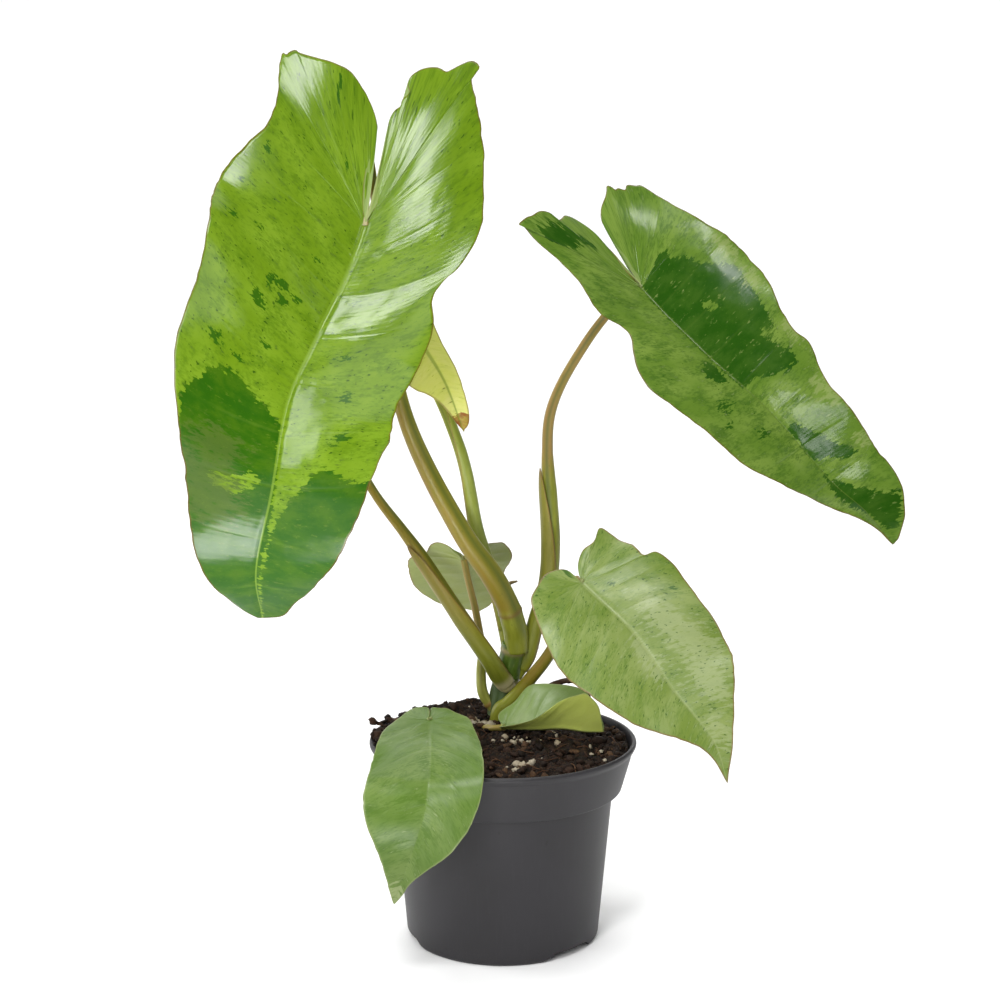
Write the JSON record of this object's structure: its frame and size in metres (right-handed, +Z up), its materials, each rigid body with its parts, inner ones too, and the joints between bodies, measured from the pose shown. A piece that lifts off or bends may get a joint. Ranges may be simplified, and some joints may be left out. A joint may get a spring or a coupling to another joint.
{
  "type": "potted variegated philodendron",
  "caption": "Potted climbing aroid: heart-shaped marbled leaf blades on long leafstalks from a short stem, in a tapered nursery pot of bark mix.",
  "frame": {"origin": "middle of the pot's foot, on the surface it stands on", "axes": "+Z up the pot's axis, -Y toward the viewer of the picture, +X to the viewer's right"},
  "size_m": [0.3093, 0.1602, 0.392],
  "materials": {
    "pot": "satin",
    "potting_mix": "matte",
    "bark": "matte",
    "stem": "satin",
    "brown_leafstalk": "satin",
    "green_leafstalk": "satin",
    "pink_leafstalk": "satin",
    "lime_blade": "gloss",
    "pale_green_blade": "satin",
    "blue_green_blade": "satin",
    "yellow_green_blade": "satin"
  },
  "bodies": {
    "root": {"pot": "pot", "soil": "potting_mix", "stem": "stem", "dry_sheath": "bark", "bark_strip": "bark", "stalk_large_left": "brown_leafstalk", "stalk_behind": "brown_leafstalk", "stalk_young": "green_leafstalk", "stalk_right": "brown_leafstalk", "stalk_lower_right": "brown_leafstalk", "stalk_small_back": "pink_leafstalk", "stalk_over_rim": "green_leafstalk", "stalk_on_soil": "pink_leafstalk", "blade_large_left": "lime_blade", "blade_right": "lime_blade", "blade_lower_right": "pale_green_blade", "blade_over_rim": "blue_green_blade", "blade_on_soil": "blue_green_blade", "blade_small_back": "pale_green_blade", "blade_young": "yellow_green_blade", "blade_behind": "blue_green_blade"}
  },
  "joints": []
}
